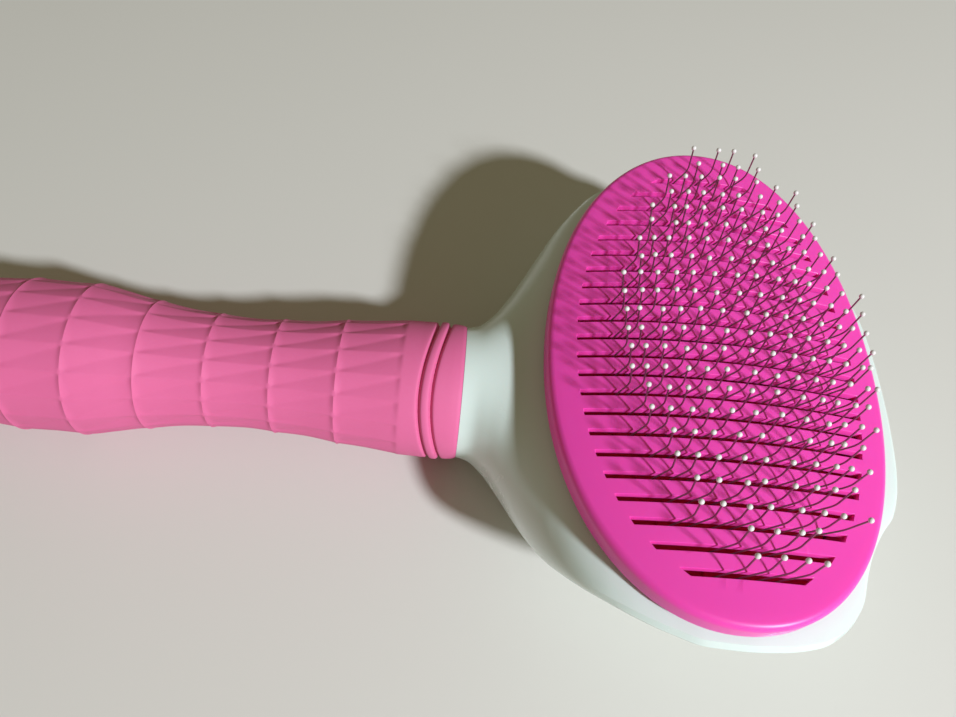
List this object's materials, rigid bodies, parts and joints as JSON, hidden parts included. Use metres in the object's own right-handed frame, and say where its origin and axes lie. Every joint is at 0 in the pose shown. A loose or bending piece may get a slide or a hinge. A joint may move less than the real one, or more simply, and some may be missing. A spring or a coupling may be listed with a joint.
{
  "type": "slicker brush",
  "caption": "Self-cleaning slicker brush for pets: bent ball-tipped wire pins through a slotted plate that a thumb button slides outward, on a ribbed rubber grip.",
  "frame": {"origin": "bottom centre of the whole brush as it lies on its back with the pins up", "axes": "+X along the handle towards the tip of the head, +Y across the head, +Z the way the pins point and the plate slides"},
  "size_m": [0.2192, 0.112, 0.0561],
  "materials": {
    "casing_plastic": "glossy cool white ABS",
    "plate_plastic": "glossy magenta pink plastic",
    "bed_plastic": "deep pink plastic",
    "inner_plastic": "satin white plastic",
    "grip_rubber": "matte pink thermoplastic rubber",
    "button_plastic": "satin pink plastic",
    "pin_wire": "bent steel wire with pearl-white ball tips",
    "steel": "zinc-plated steel"
  },
  "bodies": {
    "casing": {"back_cover": "casing_plastic", "bed_screw_1": "steel", "bed_screw_2": "steel", "bed_screw_3": "steel", "bed_screw_4": "steel", "bed_screw_5": "steel", "bed_screw_6": "steel", "cover_screw_1": "steel", "cover_screw_2": "steel", "cover_screw_3": "steel", "cover_screw_4": "steel", "end_cap": "grip_rubber", "grip_sleeve": "grip_rubber", "handle_core": "inner_plastic", "head_housing": "casing_plastic", "neck_screw": "steel", "pin_bed": "bed_plastic", "pin_strip_01": "pin_wire", "pin_strip_02": "pin_wire", "pin_strip_03": "pin_wire", "pin_strip_04": "pin_wire", "pin_strip_05": "pin_wire", "pin_strip_06": "pin_wire", "pin_strip_07": "pin_wire", "pin_strip_08": "pin_wire", "pin_strip_09": "pin_wire", "pin_strip_10": "pin_wire", "pin_strip_11": "pin_wire", "return_spring_1": "steel", "return_spring_2": "steel"},
    "cleaning_slide": {"cleaning_plate": "plate_plastic", "push_frame": "inner_plastic", "push_button": "button_plastic", "button_screw": "steel", "plate_screw_1": "steel", "plate_screw_2": "steel", "plate_screw_3": "steel", "plate_screw_4": "steel"}
  },
  "joints": [
    {"name": "plate_slide", "type": "slide", "parent": "casing", "child": "cleaning_slide", "axis": [0, 0, 1], "range_m": [0, 0.009], "stiffness_N_per_m": 400, "springref_m": -0.01, "deforming": ["return_spring_1", "return_spring_2"]}
  ]
}
